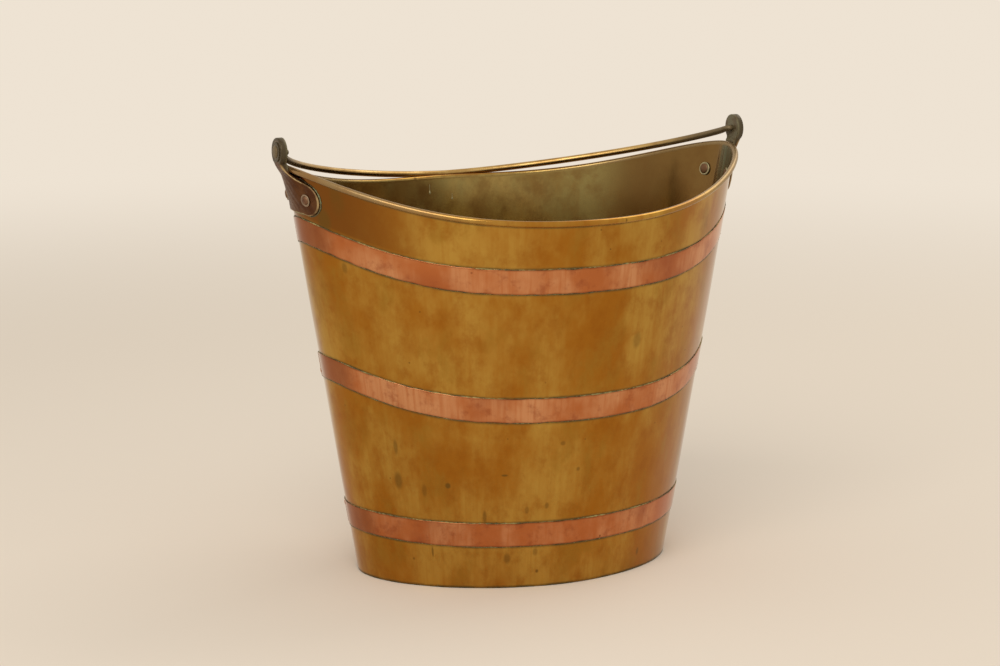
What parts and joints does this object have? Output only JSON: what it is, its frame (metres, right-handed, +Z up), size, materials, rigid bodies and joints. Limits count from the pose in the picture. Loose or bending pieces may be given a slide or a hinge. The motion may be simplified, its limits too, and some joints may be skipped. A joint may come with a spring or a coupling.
{
  "type": "coal bucket",
  "caption": "Tapering boat-shaped brass fuel bucket with saddle-shaped wired rim, copper bands round the wall and a swing handle pivoting in riveted end lugs.",
  "frame": {"origin": "middle of the flat underside of the bucket, on the floor it stands on", "axes": "+X along the pointed length towards the right-hand lug, +Y across towards the rim that the handle rests against, +Z up"},
  "size_m": [0.4214, 0.2894, 0.3618],
  "materials": {
    "brass_sheet": "polished sheet brass, hand rubbed, lightly tarnished",
    "iron_wire": "dull drawn iron wire",
    "copper_strip": "polished copper strip with tarnish and verdigris along its edges",
    "cast_lug": "dark toned cast brass with green corrosion at the edges",
    "rivet_copper": "toned hand-closed copper rivet",
    "ring_brass": "dull brass ring",
    "brass_rod": "worn drawn brass rod"
  },
  "bodies": {
    "bucket": {"body_shell": "brass_sheet", "base_pan": "brass_sheet", "rim_wire": "iron_wire", "upper_band": "copper_strip", "middle_band": "copper_strip", "lower_band": "copper_strip", "upper_band_pin": "copper_strip", "middle_band_pin": "copper_strip", "lower_band_pin": "copper_strip", "lug_left": "cast_lug", "lug_right": "cast_lug", "rivet_left_front": "rivet_copper", "rivet_left_back": "rivet_copper", "rivet_right_front": "rivet_copper", "rivet_right_back": "rivet_copper", "burr_left_front": "ring_brass", "burr_left_back": "ring_brass", "burr_right_front": "ring_brass", "burr_right_back": "ring_brass"},
    "handle": {"bail": "brass_rod", "bail_washer_left": "cast_lug", "bail_washer_right": "cast_lug"}
  },
  "joints": [
    {"name": "handle_swing", "type": "hinge", "parent": "bucket", "child": "handle", "pos_m": [0, 0, 0.3505], "axis": [1, 0, 0], "range_deg": [0, 215.64]}
  ]
}
